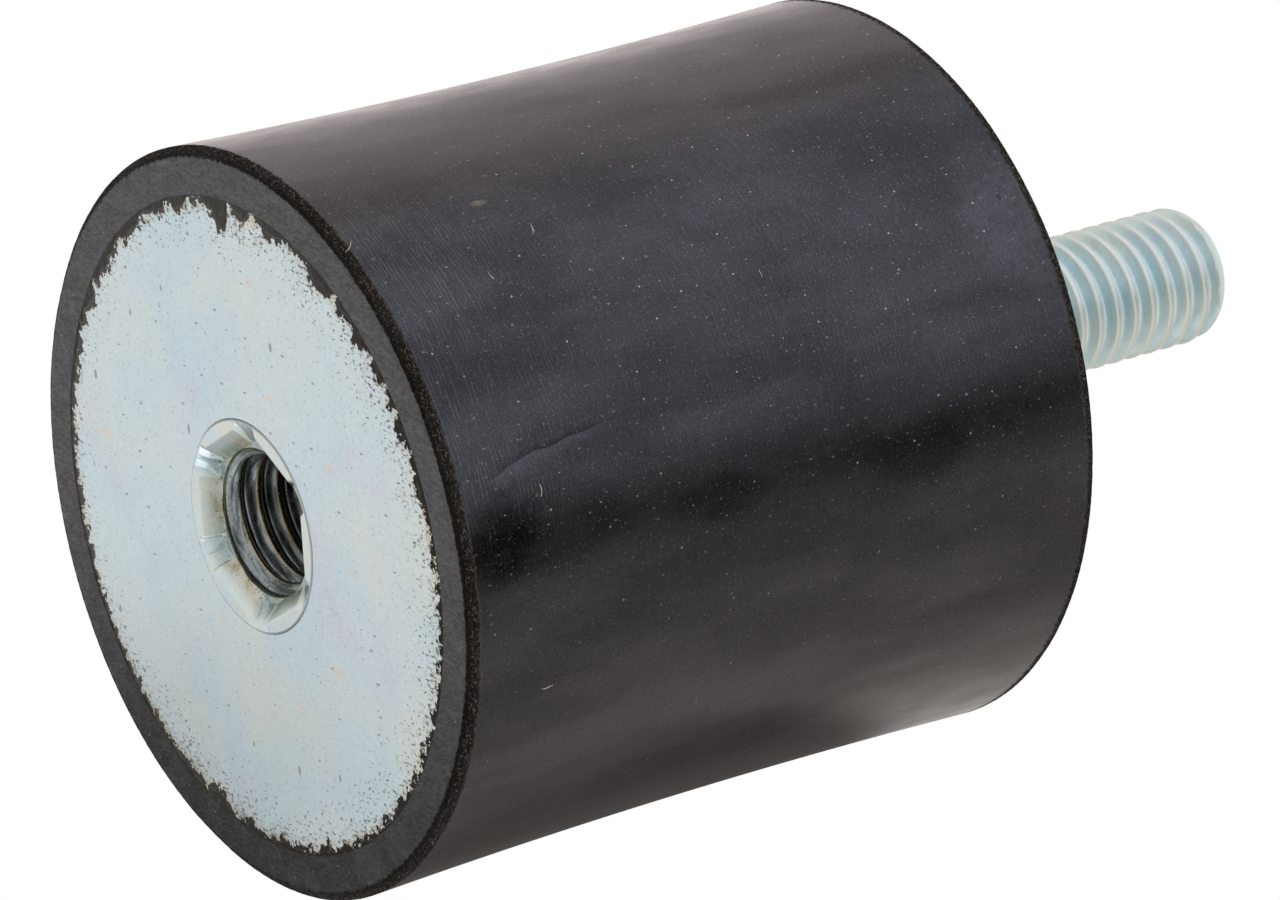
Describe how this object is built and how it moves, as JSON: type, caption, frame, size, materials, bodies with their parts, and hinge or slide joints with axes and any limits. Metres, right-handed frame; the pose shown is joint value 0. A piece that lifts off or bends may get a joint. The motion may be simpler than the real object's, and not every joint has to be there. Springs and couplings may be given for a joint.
{
  "type": "rubber vibration mount",
  "caption": "Cylindrical rubber-to-metal vibration mount, slightly waisted, with a threaded stud on one end and a threaded insert in the other.",
  "frame": {"origin": "centre of the female end face, which the mount stands on", "axes": "+Z along the axis towards the stud; +X through a corner of the six-sided print in the insert's mouth"},
  "size_m": [0.04, 0.04, 0.063],
  "materials": {
    "rubber": "semi-matt black moulded rubber",
    "zinc_plate": "clear-passivated zinc plating, matt",
    "zinc_insert": "clear-passivated zinc plating",
    "zinc_back_plate": "clear-passivated zinc plating, matt",
    "zinc_stud": "clear-passivated zinc plating"
  },
  "bodies": {
    "root": {"rubber_body": "rubber", "female_plate": "zinc_plate", "threaded_insert": "zinc_insert", "stud_plate": "zinc_back_plate", "stud": "zinc_stud"}
  },
  "joints": []
}
